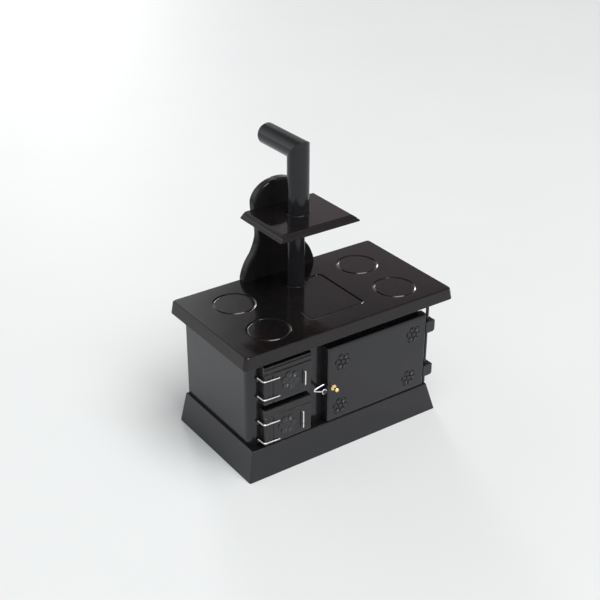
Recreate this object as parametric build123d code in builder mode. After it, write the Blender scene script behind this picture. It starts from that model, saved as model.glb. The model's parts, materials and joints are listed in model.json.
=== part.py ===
from build123d import *

import os

# Dolls' house cooking range: a black painted wooden cabinet on a sloped plinth, with an oven
# door, two small fire doors, a hob top with four ring marks, a backboard with a warming shelf,
# and a flue pipe that turns to the back.
# Millimetres. X runs along the front to the right, Y to the back, Z up.
# The origin is the centre of the plinth's underside.

# Plinth
PLINTH_WIDTH = 114.0
PLINTH_DEPTH = 65.9
PLINTH_HEIGHT = 15.1
PLINTH_END_SLOPE = 3.9
PLINTH_FRONT_SLOPE = 3.0
PLINTH_EDGE_RADIUS = 0.3

# Cabinet
CABINET_WIDTH = 103.4
CABINET_FRONT = -25.0
CABINET_BACK = 31.85
CABINET_TOP = 65.2
CABINET_CORNER_RADIUS = 4.5
SIDE_THICKNESS = 5.7
BOARD_THICKNESS = 3.0
STILE_LEFT = -21.8
STILE_RIGHT = -8.2
DIVIDER_X = -15.0
OVEN_HEAD_BOTTOM = 54.9
FIRE_HEAD_BOTTOM = 58.0
MID_RAIL_BOTTOM = 34.4
MID_RAIL_TOP = 38.8
FIRE_SHELF_THICKNESS = 2.0

# Hob top
TOP_THICKNESS = 6.2
TOP_WIDTH_LOWER = 122.1
TOP_WIDTH_UPPER = 119.8
TOP_FRONT_LOWER = -36.6
TOP_FRONT_UPPER = -36.15
TOP_BACK = 30.35
TOP_EDGE_RADIUS = 0.4
TOP_CORNER_RADIUS = 2.0
GROOVE_WIDTH = 0.65
GROOVE_DEPTH = 0.5
RING_RADIUS = 10.15
RING_X = 36.9
RING_FRONT_Y = -19.65
RING_BACK_Y = 10.25
HATCH_HALF_WIDTH = 15.0
HATCH_FRONT_Y = -23.5
HATCH_BACK_Y = 12.3
HATCH_CORNER_RADIUS = 2.2

# Backboard: half widths and heights of its side curve, from the foot to the round head
BOARD_FRONT = 25.75
BACKBOARD_TOP = 122.0
FOOT_HALF_WIDTH = 21.3
FLARE_HALF_WIDTH = 18.9
FLARE_HEIGHT = 79.5
NECK_HALF_WIDTH = 14.7
NECK_HEIGHT = 86.0
WAIST_HALF_WIDTH = 12.2
WAIST_HEIGHT = 94.6
HEAD_HALF_WIDTH = 14.7
HEAD_HEIGHT = 111.0

# Warming shelf
SHELF_BOTTOM = 106.5
SHELF_THICKNESS = 3.0
SHELF_HALF_WIDTH = 22.8
SHELF_FRONT = -9.0
SHELF_STEPS = ((1.1, 0.0), (1.0, 1.1), (0.9, 2.1))

# Flue
FLUE_Y = 11.25
LOWER_FLUE_X = -0.6
LOWER_FLUE_RADIUS = 4.5
UPPER_FLUE_X = 0.8
UPPER_FLUE_RADIUS = 5.4
OUTLET_HEIGHT = 141.2
OUTLET_END = 38.2
COLLAR_HEIGHT = 0.7
COLLAR_WIDTH = 1.5
COLLAR_EDGE_RADIUS = 0.4
OUTLET_EDGE_RADIUS = 0.8

# Doors: overlay doors that lie in front of the cabinet
DOOR_GAP = 0.3
DOOR_FRONT = -29.95
OVEN_DOOR = (-10.2, 50.5, 15.6, 56.7)
UPPER_DOOR = (-46.2, -19.8, 38.3, 58.8)
LOWER_DOOR = (-46.2, -19.8, 15.7, 35.1)
MOULDING_LINES = (1.3, 4.0)
REED_LINES = (1.7, 3.1, 4.5)
REED_WIDTH = 0.5
OVEN_DOOR_EDGE_RADIUS = 0.6
FIRE_DOOR_EDGE_RADIUS = 0.3

# Oven door hinge: two lugs on the door, both on one rod that stands on the plinth's edge
HINGE_X = 52.7
HINGE_Y = -27.6
LUG_END = 56.0
LUG_HEIGHT = 6.2
LUG_CENTRES = {"upper": 48.5, "lower": 23.0}
LUG_CORNER_RADIUS = 1.4
ROD_RADIUS = 0.8
ROD_BORE_RADIUS = 0.86
ROD_EMBED = 3.0

# Wire fittings
WIRE_RADIUS = 0.35
WIRE_EMBED = 0.9
WIRE_STANDOFF = 0.37
WIRE_CORNER_STANDOFF = 0.75
HINGE_WIRE_BENDS = (0.5, 1.1, 0.4)
HANDLE_STANDOFF = 1.3
HANDLE_BEND_RADIUS = 0.6
HANDLE_LENGTH = {"upper": 7.4, "lower": 8.9}
HANDLE_PLACE = {"upper": (-24.2, 46.5), "lower": (-25.2, 23.4)}
SMALL_HINGE_X = -47.7
SMALL_HINGE_Y = -26.1
HINGE_WIRE_END_X = -38.0
HINGE_WIRE_DROP = 0.3
HINGE_WIRE_RISE = 0.8
HINGE_WIRE_HEIGHTS = {"upper_door_top": 51.7, "upper_door_bottom": 41.8,
                      "lower_door_top": 28.0, "lower_door_bottom": 17.6}
EYE_OUTER_RADIUS = 0.8
EYE_BORE_RADIUS = 0.42
EYE_HEIGHT = 0.9
EYE_GAP = 0.12
EYE_STEM_RADIUS = 0.38
EYE_STEM_END = -22.0

# Latch: a wire hook that turns on a pin in the centre stile
LATCH_X = -13.2
LATCH_Z = 35.0
LATCH_PLANE_Y = -31.25
LATCH_RING_RADIUS = 1.1
LATCH_PIN_RADIUS = 0.7
LATCH_HEAD_RADIUS = 1.0
LATCH_HEAD_THICKNESS = 0.4
LATCH_HEAD_GAP = 0.1
LATCH_BEND = (-20.6, 37.75)
LATCH_TIP = (-13.6, 39.2)
LATCH_BEND_RADIUS = 0.6

# Brass knob on the oven door
KNOB_X = -7.1
KNOB_Z = 34.7
KNOB_SHANK_RADIUS = 0.5
KNOB_SHANK_LENGTH = 2.0
KNOB_COLLAR_RADIUS = 1.5
KNOB_COLLAR_THICKNESS = 0.65
KNOB_NECK_RADIUS = 0.6
KNOB_BALL_RADIUS = 1.2
KNOB_BALL_DISTANCE = 2.95

# Applied rosettes: place on the front and outer radius. The shares are of the outer radius.
ROSETTE_HEIGHT = 0.7
ROSETTE_PETALS = 6
ROSETTE_CENTRE_SHARE = 0.4
PETAL_DISTANCE_SHARE = 0.66
PETAL_RADIUS_SHARE = 1 - PETAL_DISTANCE_SHARE
ROSETTES = {
    "oven_rosette_upper_left": (-1.5, 47.1, 4.8),
    "oven_rosette_upper_right": (42.4, 47.6, 4.8),
    "oven_rosette_lower_left": (-2.4, 22.3, 4.8),
    "oven_rosette_lower_right": (40.6, 22.9, 4.8),
    "upper_door_rosette": (-32.0, 47.7, 5.2),
    "lower_door_rosette": (-33.6, 23.8, 5.2),
}

# Derived places
CABINET_HALF = CABINET_WIDTH / 2
INNER_HALF = CABINET_HALF - SIDE_THICKNESS
RAIL_BACK = CABINET_FRONT + BOARD_THICKNESS
BACK_PANEL_FRONT = CABINET_BACK - BOARD_THICKNESS
FLOOR_TOP = PLINTH_HEIGHT + BOARD_THICKNESS
HOB = CABINET_TOP + TOP_THICKNESS
SHELF_TOP = SHELF_BOTTOM + SHELF_THICKNESS
DOOR_BACK = CABINET_FRONT - DOOR_GAP
DOOR_THICKNESS = DOOR_BACK - DOOR_FRONT


def front_plane(y):
    """Plane facing the front at a depth y: its own x is X and its own y is Z."""
    return Plane.XZ.offset(-y)


def write(piece, name):
    """Label a finished piece and write it as one STEP file."""
    piece.part.label = name
    export_step(piece.part, f"parts/{name}.step")


def board(x_range, y_range, z_range):
    """Plain rectangular board between two values on each axis."""
    (x0, x1), (y0, y1), (z0, z1) = x_range, y_range, z_range
    with BuildPart() as piece:
        with BuildSketch(Plane.XY.offset(z0)):
            with Locations(((x0 + x1) / 2, (y0 + y1) / 2)):
                Rectangle(x1 - x0, y1 - y0)
        extrude(amount=z1 - z0)
    return piece


def tapered_board(z0, z1, lower, upper):
    """Board whose lower and upper outlines differ: each is (width, front, back)."""
    with BuildPart() as piece:
        for z, (width, front, back) in ((z0, lower), (z1, upper)):
            with BuildSketch(Plane.XY.offset(z)):
                with Locations((0, (front + back) / 2)):
                    Rectangle(width, back - front)
        loft(ruled=True)
    return piece


def wire(points, radii, radius=WIRE_RADIUS):
    """Round wire along straight runs joined by arcs, one arc radius for each corner."""
    with BuildPart() as piece:
        with BuildLine() as path:
            FilletPolyline(*points, radius=radii)
        with BuildSketch(Plane(origin=path.line @ 0, z_dir=path.line % 0)):
            Circle(radius)
        sweep()
    return piece


# Plinth and cabinet boards

def make_plinth():
    """Board that slopes in at both ends and at the front, with its upper edges eased."""
    half_depth = PLINTH_DEPTH / 2
    lower = (PLINTH_WIDTH, -half_depth, half_depth)
    upper = (PLINTH_WIDTH - 2 * PLINTH_END_SLOPE, PLINTH_FRONT_SLOPE - half_depth, half_depth)
    with BuildPart() as piece:
        add(tapered_board(0, PLINTH_HEIGHT, lower, upper).part)
        fillet(piece.edges().group_by(Axis.Z)[-1], radius=PLINTH_EDGE_RADIUS)
    return piece


def small_hinge_height(name):
    """Height of the middle of one small hinge's eye."""
    wire_back = HINGE_WIRE_HEIGHTS[name] + HINGE_WIRE_RISE
    return wire_back - WIRE_RADIUS - EYE_GAP - EYE_HEIGHT / 2


def make_side_panel(side):
    """Side panel, side = -1 for the left and +1 for the right, with its front edge rounded."""
    inner, outer = sorted((side * INNER_HALF, side * CABINET_HALF))
    with BuildPart() as piece:
        add(board((inner, outer), (CABINET_FRONT, CABINET_BACK), (PLINTH_HEIGHT, CABINET_TOP)).part)
        front_edges = piece.edges().filter_by(Axis.Z).group_by(Axis.Y)[0]
        outer_edge = front_edges.sort_by(Axis.X)[-1 if side > 0 else 0]
        fillet(outer_edge, radius=CABINET_CORNER_RADIUS)
        if side < 0:
            with BuildSketch(front_plane(EYE_STEM_END)):
                with Locations([(SMALL_HINGE_X, small_hinge_height(n)) for n in HINGE_WIRE_HEIGHTS]):
                    Circle(EYE_STEM_RADIUS)
            extrude(amount=EYE_STEM_END - DOOR_BACK, mode=Mode.SUBTRACT)
    return piece


def make_centre_stile():
    """Upright between the oven and the fire doors, bored for the latch pin."""
    with BuildPart() as piece:
        add(board((STILE_LEFT, STILE_RIGHT), (CABINET_FRONT, RAIL_BACK), (FLOOR_TOP, CABINET_TOP)).part)
        with BuildSketch(front_plane(CABINET_FRONT)):
            with Locations((LATCH_X, LATCH_Z)):
                Circle(LATCH_PIN_RADIUS)
        extrude(amount=-BOARD_THICKNESS, mode=Mode.SUBTRACT)
    return piece


# Hob top and what stands on it

def make_hob_top():
    """Slab with eased edges, four ring marks, a hatch outline, and a hole for the hinge rod."""
    lower = (TOP_WIDTH_LOWER, TOP_FRONT_LOWER, TOP_BACK)
    upper = (TOP_WIDTH_UPPER, TOP_FRONT_UPPER, TOP_BACK)
    with BuildPart() as piece:
        add(tapered_board(CABINET_TOP, HOB, lower, upper).part)
        upright_edges = piece.edges().group_by(Axis.Z)[1]
        fillet(upright_edges.group_by(Axis.Y)[0], radius=TOP_CORNER_RADIUS)
        for level in (-1, 0):
            fillet(piece.edges().group_by(Axis.Z)[level], radius=TOP_EDGE_RADIUS)
        ring_places = [(x, y) for x in (-RING_X, RING_X) for y in (RING_FRONT_Y, RING_BACK_Y)]
        with BuildSketch(Plane.XY.offset(HOB)):
            with Locations(ring_places):
                Circle(RING_RADIUS + GROOVE_WIDTH / 2)
                Circle(RING_RADIUS - GROOVE_WIDTH / 2, mode=Mode.SUBTRACT)
            with Locations((0, (HATCH_FRONT_Y + HATCH_BACK_Y) / 2)):
                RectangleRounded(2 * HATCH_HALF_WIDTH + GROOVE_WIDTH,
                                 HATCH_BACK_Y - HATCH_FRONT_Y + GROOVE_WIDTH,
                                 HATCH_CORNER_RADIUS + GROOVE_WIDTH / 2)
                RectangleRounded(2 * HATCH_HALF_WIDTH - GROOVE_WIDTH,
                                 HATCH_BACK_Y - HATCH_FRONT_Y - GROOVE_WIDTH,
                                 HATCH_CORNER_RADIUS - GROOVE_WIDTH / 2, mode=Mode.SUBTRACT)
        extrude(amount=-GROOVE_DEPTH, mode=Mode.SUBTRACT)
        with BuildSketch(Plane.XY.offset(CABINET_TOP)):
            with Locations((HINGE_X, HINGE_Y)):
                Circle(ROD_RADIUS)
        extrude(amount=ROD_EMBED, mode=Mode.SUBTRACT)
    return piece


def make_backboard():
    """Keyhole-shaped board: flared foot, narrow waist and round head."""
    with BuildPart() as piece:
        with BuildSketch(front_plane(TOP_BACK)):
            with BuildLine():
                side = Spline((FOOT_HALF_WIDTH, HOB), (FLARE_HALF_WIDTH, FLARE_HEIGHT),
                              (NECK_HALF_WIDTH, NECK_HEIGHT), (WAIST_HALF_WIDTH, WAIST_HEIGHT),
                              (HEAD_HALF_WIDTH, HEAD_HEIGHT), tangents=((0, 1), (0, 1)))
                EllipticalCenterArc((0, HEAD_HEIGHT), HEAD_HALF_WIDTH, BACKBOARD_TOP - HEAD_HEIGHT,
                                    start_angle=0, arc_size=90)
                Line((0, HOB), side @ 0)
                mirror(about=Plane.YZ)
            make_face()
        extrude(amount=TOP_BACK - BOARD_FRONT)
    return piece


def make_warming_shelf():
    """Thin board with a stepped moulding on its front and ends."""
    with BuildPart() as piece:
        z = SHELF_BOTTOM
        for height, inset in SHELF_STEPS:
            front = SHELF_FRONT + inset
            with BuildSketch(Plane.XY.offset(z)):
                with Locations((0, (front + BOARD_FRONT) / 2)):
                    Rectangle(2 * (SHELF_HALF_WIDTH - inset), BOARD_FRONT - front)
            extrude(amount=height)
            z += height
    return piece


def make_collar(x, z, flue_radius):
    """Thin ring round the foot of a flue length."""
    with BuildPart() as piece:
        with BuildSketch(Plane.XY.offset(z)):
            with Locations((x, FLUE_Y)):
                Circle(flue_radius + COLLAR_WIDTH)
                Circle(flue_radius, mode=Mode.SUBTRACT)
        extrude(amount=COLLAR_HEIGHT)
        outer_edge = piece.edges().group_by(Axis.Z)[-1].sort_by(SortBy.RADIUS)[-1]
        fillet(outer_edge, radius=COLLAR_EDGE_RADIUS)
    return piece


def make_lower_flue():
    """Dowel from the hob to the underside of the warming shelf."""
    with BuildPart() as piece:
        with BuildSketch(Plane.XY.offset(HOB)):
            with Locations((LOWER_FLUE_X, FLUE_Y)):
                Circle(LOWER_FLUE_RADIUS)
        extrude(amount=SHELF_BOTTOM - HOB)
    return piece


def mitre_plane():
    """Sloping plane on which the upright and the outlet are glued; its normal faces up and back."""
    return Plane(origin=(UPPER_FLUE_X, FLUE_Y, OUTLET_HEIGHT), z_dir=(0, 1, 1))


def make_upper_flue():
    """Thicker dowel from the warming shelf up to the mitre."""
    with BuildPart() as piece:
        with BuildSketch(Plane.XY.offset(SHELF_TOP)):
            with Locations((UPPER_FLUE_X, FLUE_Y)):
                Circle(UPPER_FLUE_RADIUS)
        extrude(amount=OUTLET_HEIGHT + 2 * UPPER_FLUE_RADIUS - SHELF_TOP)
        split(bisect_by=mitre_plane(), keep=Keep.BOTTOM)
    return piece


def make_flue_outlet():
    """Dowel from the mitre to the back, with its free end eased."""
    with BuildPart() as piece:
        with BuildSketch(front_plane(OUTLET_END)):
            with Locations((UPPER_FLUE_X, OUTLET_HEIGHT)):
                Circle(UPPER_FLUE_RADIUS)
        extrude(amount=OUTLET_END - FLUE_Y + 2 * UPPER_FLUE_RADIUS)
        fillet(piece.edges().sort_by(Axis.Y)[-1], radius=OUTLET_EDGE_RADIUS)
        split(bisect_by=mitre_plane(), keep=Keep.TOP)
    return piece


# Doors and their fittings

def door_slab(outline, edge_radius, holes):
    """Flat overlay door with rounded front edges and blind holes for what is fixed in it."""
    x0, x1, z0, z1 = outline
    with BuildPart() as piece:
        with BuildSketch(front_plane(DOOR_BACK)):
            with Locations(((x0 + x1) / 2, (z0 + z1) / 2)):
                Rectangle(x1 - x0, z1 - z0)
        extrude(amount=DOOR_THICKNESS)
        fillet(piece.edges().group_by(Axis.Y)[0], radius=edge_radius)
        for x, z, radius, depth in holes:
            with BuildSketch(front_plane(DOOR_FRONT)):
                with Locations((x, z)):
                    Circle(radius)
            extrude(amount=-depth, mode=Mode.SUBTRACT)
    return piece


def make_oven_door():
    """Plain overlay door with a hole for the knob's shank."""
    knob_hole = (KNOB_X, KNOB_Z, KNOB_SHANK_RADIUS, KNOB_SHANK_LENGTH)
    return door_slab(OVEN_DOOR, OVEN_DOOR_EDGE_RADIUS, [knob_hole])


def make_small_door(outline, level):
    """Fire door with a grooved moulding along its top and upright reeds by its hinge edge."""
    x0, x1, z0, z1 = outline
    handle_x, handle_z = HANDLE_PLACE[level]
    half_handle = HANDLE_LENGTH[level] / 2
    holes = [(handle_x, handle_z + s * half_handle, WIRE_RADIUS, WIRE_EMBED) for s in (-1, 1)]
    holes += [(HINGE_WIRE_END_X, height - HINGE_WIRE_DROP, WIRE_RADIUS, WIRE_EMBED)
              for name, height in HINGE_WIRE_HEIGHTS.items() if name.startswith(level)]
    reed_top = z1 - MOULDING_LINES[-1]
    with BuildPart() as piece:
        add(door_slab(outline, FIRE_DOOR_EDGE_RADIUS, holes).part)
        with BuildSketch(front_plane(DOOR_FRONT)):
            with Locations([((x0 + x1) / 2, z1 - drop) for drop in MOULDING_LINES]):
                Rectangle(x1 - x0, REED_WIDTH)
            with Locations([(x0 + across, (z0 + reed_top) / 2) for across in REED_LINES]):
                Rectangle(REED_WIDTH, reed_top - z0)
        extrude(amount=-REED_WIDTH, mode=Mode.SUBTRACT)
    return piece


def make_rosette(x, z, radius):
    """Raised flower of round petals about a round centre."""
    with BuildPart() as piece:
        with BuildSketch(front_plane(DOOR_FRONT)):
            with Locations((x, z)):
                Circle(radius * ROSETTE_CENTRE_SHARE)
                with PolarLocations(radius * PETAL_DISTANCE_SHARE, ROSETTE_PETALS):
                    Circle(radius * PETAL_RADIUS_SHARE)
        extrude(amount=ROSETTE_HEIGHT)
    return piece


def make_hinge_lug(centre):
    """Block on the door's right edge, bored for the hinge rod."""
    door_edge = OVEN_DOOR[1]
    with BuildPart() as piece:
        with BuildSketch(front_plane(DOOR_BACK)):
            with Locations(((door_edge + LUG_END) / 2, centre)):
                Rectangle(LUG_END - door_edge, LUG_HEIGHT)
        extrude(amount=DOOR_THICKNESS)
        lower_edge = piece.edges().filter_by(Axis.Y).group_by(Axis.X)[-1].sort_by(Axis.Z)[0]
        fillet(lower_edge, radius=LUG_CORNER_RADIUS)
        with BuildSketch(Plane.XY.offset(centre - LUG_HEIGHT / 2)):
            with Locations((HINGE_X, HINGE_Y)):
                Circle(ROD_BORE_RADIUS)
        extrude(amount=LUG_HEIGHT, mode=Mode.SUBTRACT)
    return piece


def make_hinge_rod():
    """Upright rod from the plinth's upper face, through both lugs, and into the hob top."""
    with BuildPart() as piece:
        with BuildSketch(Plane.XY.offset(PLINTH_HEIGHT)):
            with Locations((HINGE_X, HINGE_Y)):
                Circle(ROD_RADIUS)
        extrude(amount=CABINET_TOP + ROD_EMBED - PLINTH_HEIGHT)
    return piece


def make_hinge_wire(name):
    """Bent wire strap: let into the door's front, round its edge, and down as a pintle."""
    height = HINGE_WIRE_HEIGHTS[name]
    front_y = DOOR_FRONT - WIRE_STANDOFF
    end_z = height - HINGE_WIRE_DROP
    back_z = height + HINGE_WIRE_RISE
    pintle_end = back_z - WIRE_RADIUS - EYE_GAP - EYE_HEIGHT - WIRE_RADIUS
    corner_x = UPPER_DOOR[0] - WIRE_CORNER_STANDOFF
    points = [(HINGE_WIRE_END_X, DOOR_FRONT + WIRE_EMBED, end_z),
              (HINGE_WIRE_END_X, front_y, end_z), (corner_x, front_y, height),
              (SMALL_HINGE_X, SMALL_HINGE_Y, back_z), (SMALL_HINGE_X, SMALL_HINGE_Y, pintle_end)]
    return wire(points, HINGE_WIRE_BENDS)


def make_hinge_eyes():
    """Four small eyes with stems let into the left side panel's front edge."""
    with BuildPart() as piece:
        for name in HINGE_WIRE_HEIGHTS:
            height = small_hinge_height(name)
            with BuildSketch(Plane.XY.offset(height - EYE_HEIGHT / 2)):
                with Locations((SMALL_HINGE_X, SMALL_HINGE_Y)):
                    Circle(EYE_OUTER_RADIUS)
            extrude(amount=EYE_HEIGHT)
            with BuildSketch(front_plane(EYE_STEM_END)):
                with Locations((SMALL_HINGE_X, height)):
                    Circle(EYE_STEM_RADIUS)
            extrude(amount=EYE_STEM_END - SMALL_HINGE_Y)
            with BuildSketch(Plane.XY.offset(height - EYE_HEIGHT / 2)):
                with Locations((SMALL_HINGE_X, SMALL_HINGE_Y)):
                    Circle(EYE_BORE_RADIUS)
            extrude(amount=EYE_HEIGHT, mode=Mode.SUBTRACT)
    return piece


def make_handle(level):
    """Wire staple pull with both legs let into the door."""
    x, z = HANDLE_PLACE[level]
    half = HANDLE_LENGTH[level] / 2
    back = DOOR_FRONT + WIRE_EMBED
    front = DOOR_FRONT - HANDLE_STANDOFF
    points = [(x, back, z + half), (x, front, z + half), (x, front, z - half), (x, back, z - half)]
    return wire(points, HANDLE_BEND_RADIUS)


def make_knob():
    """Turned brass knob: shank, collar, neck and ball, on an axis along Y."""
    centre = Plane(origin=(KNOB_X, DOOR_FRONT, KNOB_Z), x_dir=(1, 0, 0), z_dir=(0, 0, 1))
    ball_start = KNOB_BALL_DISTANCE - (KNOB_BALL_RADIUS**2 - KNOB_NECK_RADIUS**2) ** 0.5
    with BuildPart() as piece:
        with BuildSketch(centre):
            with BuildLine():
                Polyline((0, KNOB_SHANK_LENGTH), (KNOB_SHANK_RADIUS, KNOB_SHANK_LENGTH),
                         (KNOB_SHANK_RADIUS, 0), (KNOB_COLLAR_RADIUS, 0),
                         (KNOB_COLLAR_RADIUS, -KNOB_COLLAR_THICKNESS),
                         (KNOB_NECK_RADIUS, -KNOB_COLLAR_THICKNESS), (KNOB_NECK_RADIUS, -ball_start))
                ThreePointArc((KNOB_NECK_RADIUS, -ball_start), (KNOB_BALL_RADIUS, -KNOB_BALL_DISTANCE),
                              (0, -KNOB_BALL_DISTANCE - KNOB_BALL_RADIUS))
                Line((0, -KNOB_BALL_DISTANCE - KNOB_BALL_RADIUS), (0, KNOB_SHANK_LENGTH))
            make_face()
        revolve(axis=Axis((KNOB_X, DOOR_FRONT, KNOB_Z), (0, 1, 0)))
    return piece


def make_latch_pin():
    """Headed pin in the centre stile that the latch hook turns on."""
    head_back = LATCH_PLANE_Y - WIRE_RADIUS - LATCH_HEAD_GAP
    with BuildPart() as piece:
        for start, end, radius in ((RAIL_BACK, head_back, LATCH_PIN_RADIUS),
                                   (head_back, head_back - LATCH_HEAD_THICKNESS, LATCH_HEAD_RADIUS)):
            with BuildSketch(front_plane(start)):
                with Locations((LATCH_X, LATCH_Z)):
                    Circle(radius)
            extrude(amount=start - end)
    return piece


def make_latch_hook():
    """Wire hook: a ring on the pin, an arm to the bend, and a free arm back over it."""
    bend_x, bend_z = LATCH_BEND
    run_x, run_z = bend_x - LATCH_X, bend_z - LATCH_Z
    scale = LATCH_RING_RADIUS / (run_x**2 + run_z**2) ** 0.5
    start = (LATCH_X + run_x * scale, LATCH_Z + run_z * scale)
    with BuildPart() as piece:
        with Locations(Plane(origin=(LATCH_X, LATCH_PLANE_Y, LATCH_Z), z_dir=(0, -1, 0))):
            Torus(LATCH_RING_RADIUS, WIRE_RADIUS)
        with BuildLine(front_plane(LATCH_PLANE_Y)) as path:
            FilletPolyline(start, LATCH_BEND, LATCH_TIP, radius=LATCH_BEND_RADIUS)
        with BuildSketch(Plane(origin=path.line @ 0, z_dir=path.line % 0)):
            Circle(WIRE_RADIUS)
        sweep()
    return piece


os.makedirs("parts", exist_ok=True)

cabinet_x = (-INNER_HALF, INNER_HALF)
frame_y = (CABINET_FRONT, RAIL_BACK)
behind_rails = (RAIL_BACK, BACK_PANEL_FRONT)
divider_left = DIVIDER_X - BOARD_THICKNESS / 2
divider_right = DIVIDER_X + BOARD_THICKNESS / 2
mid_height = (MID_RAIL_BOTTOM + MID_RAIL_TOP) / 2
fire_shelf_z = (mid_height - FIRE_SHELF_THICKNESS / 2, mid_height + FIRE_SHELF_THICKNESS / 2)

write(make_plinth(), "base_plinth")
write(make_side_panel(-1), "left_side_panel")
write(make_side_panel(1), "right_side_panel")
write(board(cabinet_x, (BACK_PANEL_FRONT, CABINET_BACK), (PLINTH_HEIGHT, CABINET_TOP)), "back_panel")
write(board(cabinet_x, (CABINET_FRONT, BACK_PANEL_FRONT), (PLINTH_HEIGHT, FLOOR_TOP)), "floor_board")
write(board((divider_left, divider_right), behind_rails, (FLOOR_TOP, CABINET_TOP)), "centre_divider")
write(make_centre_stile(), "centre_stile")
write(board((STILE_RIGHT, INNER_HALF), frame_y, (OVEN_HEAD_BOTTOM, CABINET_TOP)), "oven_head_rail")
write(board((-INNER_HALF, STILE_LEFT), frame_y, (FIRE_HEAD_BOTTOM, CABINET_TOP)), "fire_head_rail")
write(board((-INNER_HALF, STILE_LEFT), frame_y, (MID_RAIL_BOTTOM, MID_RAIL_TOP)), "fire_mid_rail")
write(board((-INNER_HALF, divider_left), behind_rails, fire_shelf_z), "fire_shelf")

write(make_hob_top(), "hob_top")
write(make_backboard(), "backboard")
write(make_warming_shelf(), "warming_shelf")
write(make_lower_flue(), "lower_flue")
write(make_collar(LOWER_FLUE_X, HOB, LOWER_FLUE_RADIUS), "lower_flue_collar")
write(make_upper_flue(), "upper_flue")
write(make_collar(UPPER_FLUE_X, SHELF_TOP, UPPER_FLUE_RADIUS), "upper_flue_collar")
write(make_flue_outlet(), "flue_outlet")

write(make_oven_door(), "oven_door")
write(make_small_door(UPPER_DOOR, "upper"), "upper_fire_door")
write(make_small_door(LOWER_DOOR, "lower"), "lower_fire_door")
for rosette_name, rosette in ROSETTES.items():
    write(make_rosette(*rosette), rosette_name)
for level_name, lug_centre in LUG_CENTRES.items():
    write(make_hinge_lug(lug_centre), f"oven_hinge_lug_{level_name}")
write(make_hinge_rod(), "oven_hinge_rod")
for hinge_name in HINGE_WIRE_HEIGHTS:
    write(make_hinge_wire(hinge_name), f"{hinge_name}_hinge_wire")
write(make_hinge_eyes(), "fire_door_hinge_eyes")
for level_name in HANDLE_PLACE:
    write(make_handle(level_name), f"{level_name}_door_handle")
write(make_knob(), "oven_door_knob")
write(make_latch_pin(), "latch_pin")
write(make_latch_hook(), "latch_hook")
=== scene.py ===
import json
import math

import bmesh
import bpy
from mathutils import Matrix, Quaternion, Vector


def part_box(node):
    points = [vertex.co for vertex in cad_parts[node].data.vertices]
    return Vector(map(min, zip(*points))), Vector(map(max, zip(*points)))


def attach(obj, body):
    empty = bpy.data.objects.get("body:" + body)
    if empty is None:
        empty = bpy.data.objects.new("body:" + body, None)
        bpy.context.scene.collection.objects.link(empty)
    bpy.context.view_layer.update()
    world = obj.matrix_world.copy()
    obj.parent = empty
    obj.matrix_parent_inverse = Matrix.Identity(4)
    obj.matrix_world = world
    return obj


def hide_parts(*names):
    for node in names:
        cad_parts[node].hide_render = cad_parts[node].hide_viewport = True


# Dolls' house cooking range in black satin paint, with bright wire fittings and a brass knob.
# Blender's lengths are in metres. Sizes of the range and of its textures are named in
# millimetres, and MM turns them into metres. X runs to the right, Y to the back, Z up.

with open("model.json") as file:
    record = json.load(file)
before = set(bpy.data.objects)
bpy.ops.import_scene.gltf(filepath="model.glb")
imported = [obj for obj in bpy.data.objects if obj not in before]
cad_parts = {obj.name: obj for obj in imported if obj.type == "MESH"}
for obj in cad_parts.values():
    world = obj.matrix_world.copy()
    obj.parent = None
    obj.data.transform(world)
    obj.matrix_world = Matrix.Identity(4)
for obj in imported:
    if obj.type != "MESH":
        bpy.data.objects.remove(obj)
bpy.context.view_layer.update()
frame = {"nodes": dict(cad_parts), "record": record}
nodes = frame["nodes"]

MM = 0.001

# Plinth and hob top: how far each steps in from its foot to its upper face, corner radius seen
# from above, and radii of its (lower, upper) edges
PLINTH_END_SLOPE, PLINTH_FRONT_SLOPE = 3.9, 3.0
PLINTH_CORNER = 0.9
PLINTH_EDGES = (0.15, 0.8)
HOB_END_SLOPE, HOB_FRONT_SLOPE = 1.15, 0.45
HOB_CORNER = 2.0
HOB_EDGES = (0.25, 0.75)
EDGE_STEPS = 5

# Ring marks and hatch outline, to the deepest line of their grooves
RING_RADIUS = 9.9
RING_X = 36.9
RING_FRONT_Y, RING_BACK_Y = -19.65, 10.25
HATCH_HALF_WIDTH = 15.0
HATCH_FRONT_Y, HATCH_BACK_Y = -23.5, 12.3
HATCH_CORNER = 2.2

# Groove across its width. The wall on the outer side is gentle, the inner one steep.
GROOVE_DEPTH = 0.38
GROOVE_OUTER, GROOVE_INNER = 0.95, 0.55
GROOVE_STEPS = 8

# The hatch's groove changes from the left share of that depth to the right one, between
# HATCH_FADE to the left and HATCH_FADE to the right of the middle
HATCH_SHARE_LEFT, HATCH_SHARE_RIGHT = 0.12, 1.5
HATCH_FADE = 8.0

# Backboard: half widths and heights of its side above the foot, the last where its head begins
BACKBOARD_SIDE = ((18.9, 79.5), (14.7, 86.0), (12.2, 94.6), (14.7, 111.0))
BACKBOARD_SIDE_STEPS, BACKBOARD_HEAD_STEPS = 10, 24
BACKBOARD_FRONT_EDGE, BACKBOARD_BACK_EDGE = 0.9, 0.4
BACKBOARD_EDGE_STEPS = 6

# Shelf moulding from its underside up: height and how far it steps in
SHELF_MOULDING = ((0.0, 0.3), (0.06, 0.1), (0.2, 0.0), (0.6, 0.02), (0.85, 0.15), (1.05, 0.4),
                  (1.25, 0.7), (1.5, 0.95), (1.75, 1.1), (2.0, 1.3), (2.2, 1.6), (2.4, 1.95),
                  (2.6, 2.2), (2.8, 2.4), (2.92, 2.6), (2.98, 2.85), (3.0, 3.1))
SHELF_CORNER = 0.25

# Bead round the foot of a flue length: its middle from the flue's face, half width and height
COLLAR_OUT, COLLAR_HALF_WIDTH, COLLAR_HEIGHT = 0.3, 0.35, 0.3
COLLAR_STEPS = 8

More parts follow.
